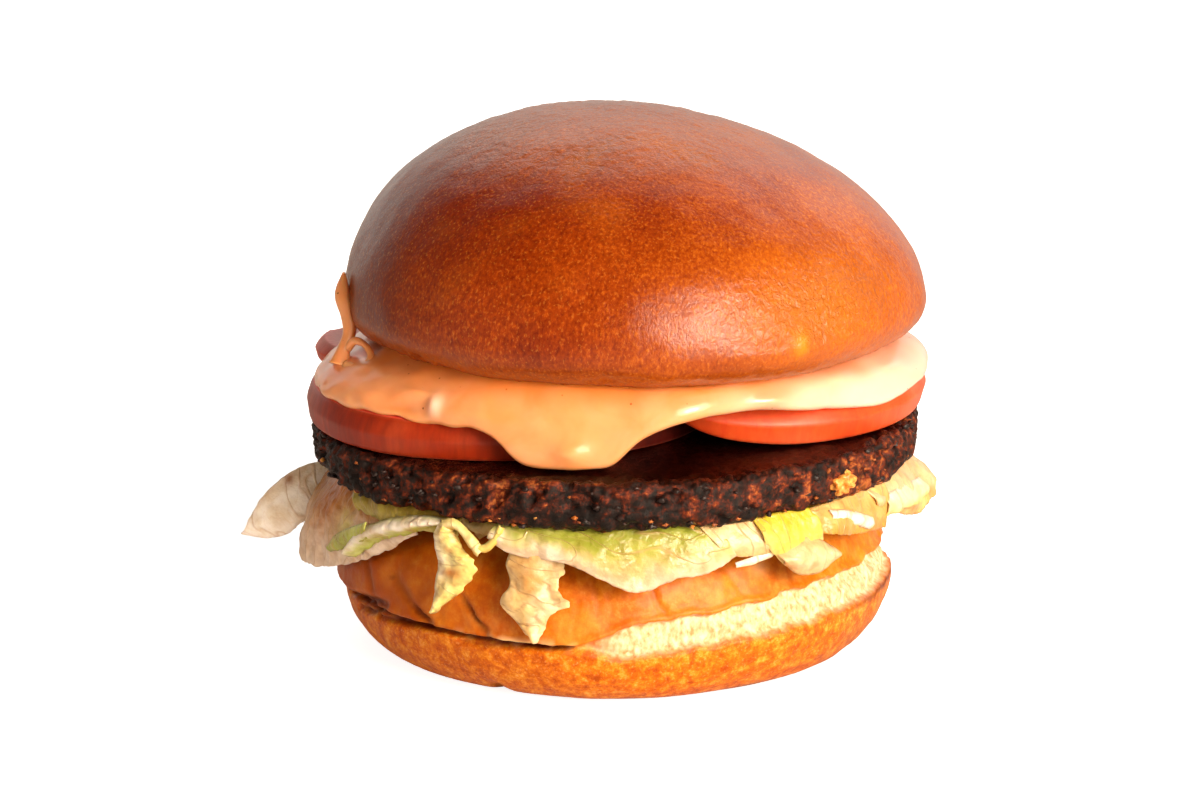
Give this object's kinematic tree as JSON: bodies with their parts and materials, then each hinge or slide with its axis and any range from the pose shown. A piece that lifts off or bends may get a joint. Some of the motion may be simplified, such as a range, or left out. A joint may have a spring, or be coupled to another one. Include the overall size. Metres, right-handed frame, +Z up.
{
  "type": "plant-based burger",
  "caption": "Stacked plant-based burger: glossy brioche crown, dripping sauce, tomato slices, charred patty, shredded lettuce and a heel that it stands on.",
  "frame": {"origin": "centre of the heel's flat base, on the surface that the burger stands on", "axes": "+Z up through the crown; the shown side with the sauce's drip faces -Y; +X to the right as seen from there"},
  "size_m": [0.127, 0.1133, 0.099],
  "materials": {
    "heel_crust": "baked golden crust, matt",
    "lettuce": "moist leaf, satin",
    "charred_patty": "charred and craggy, oily in places",
    "tomato": "wet skin and flesh",
    "sauce": "thick creamy sauce, glossy",
    "crown_crust": "egg-washed crust, glossy"
  },
  "bodies": {
    "root": {"heel_bun": "heel_crust", "shredded_lettuce": "lettuce", "patty": "charred_patty", "tomato_left": "tomato", "tomato_right": "tomato", "tomato_back": "tomato", "sauce": "sauce", "crown_bun": "crown_crust"}
  },
  "joints": []
}
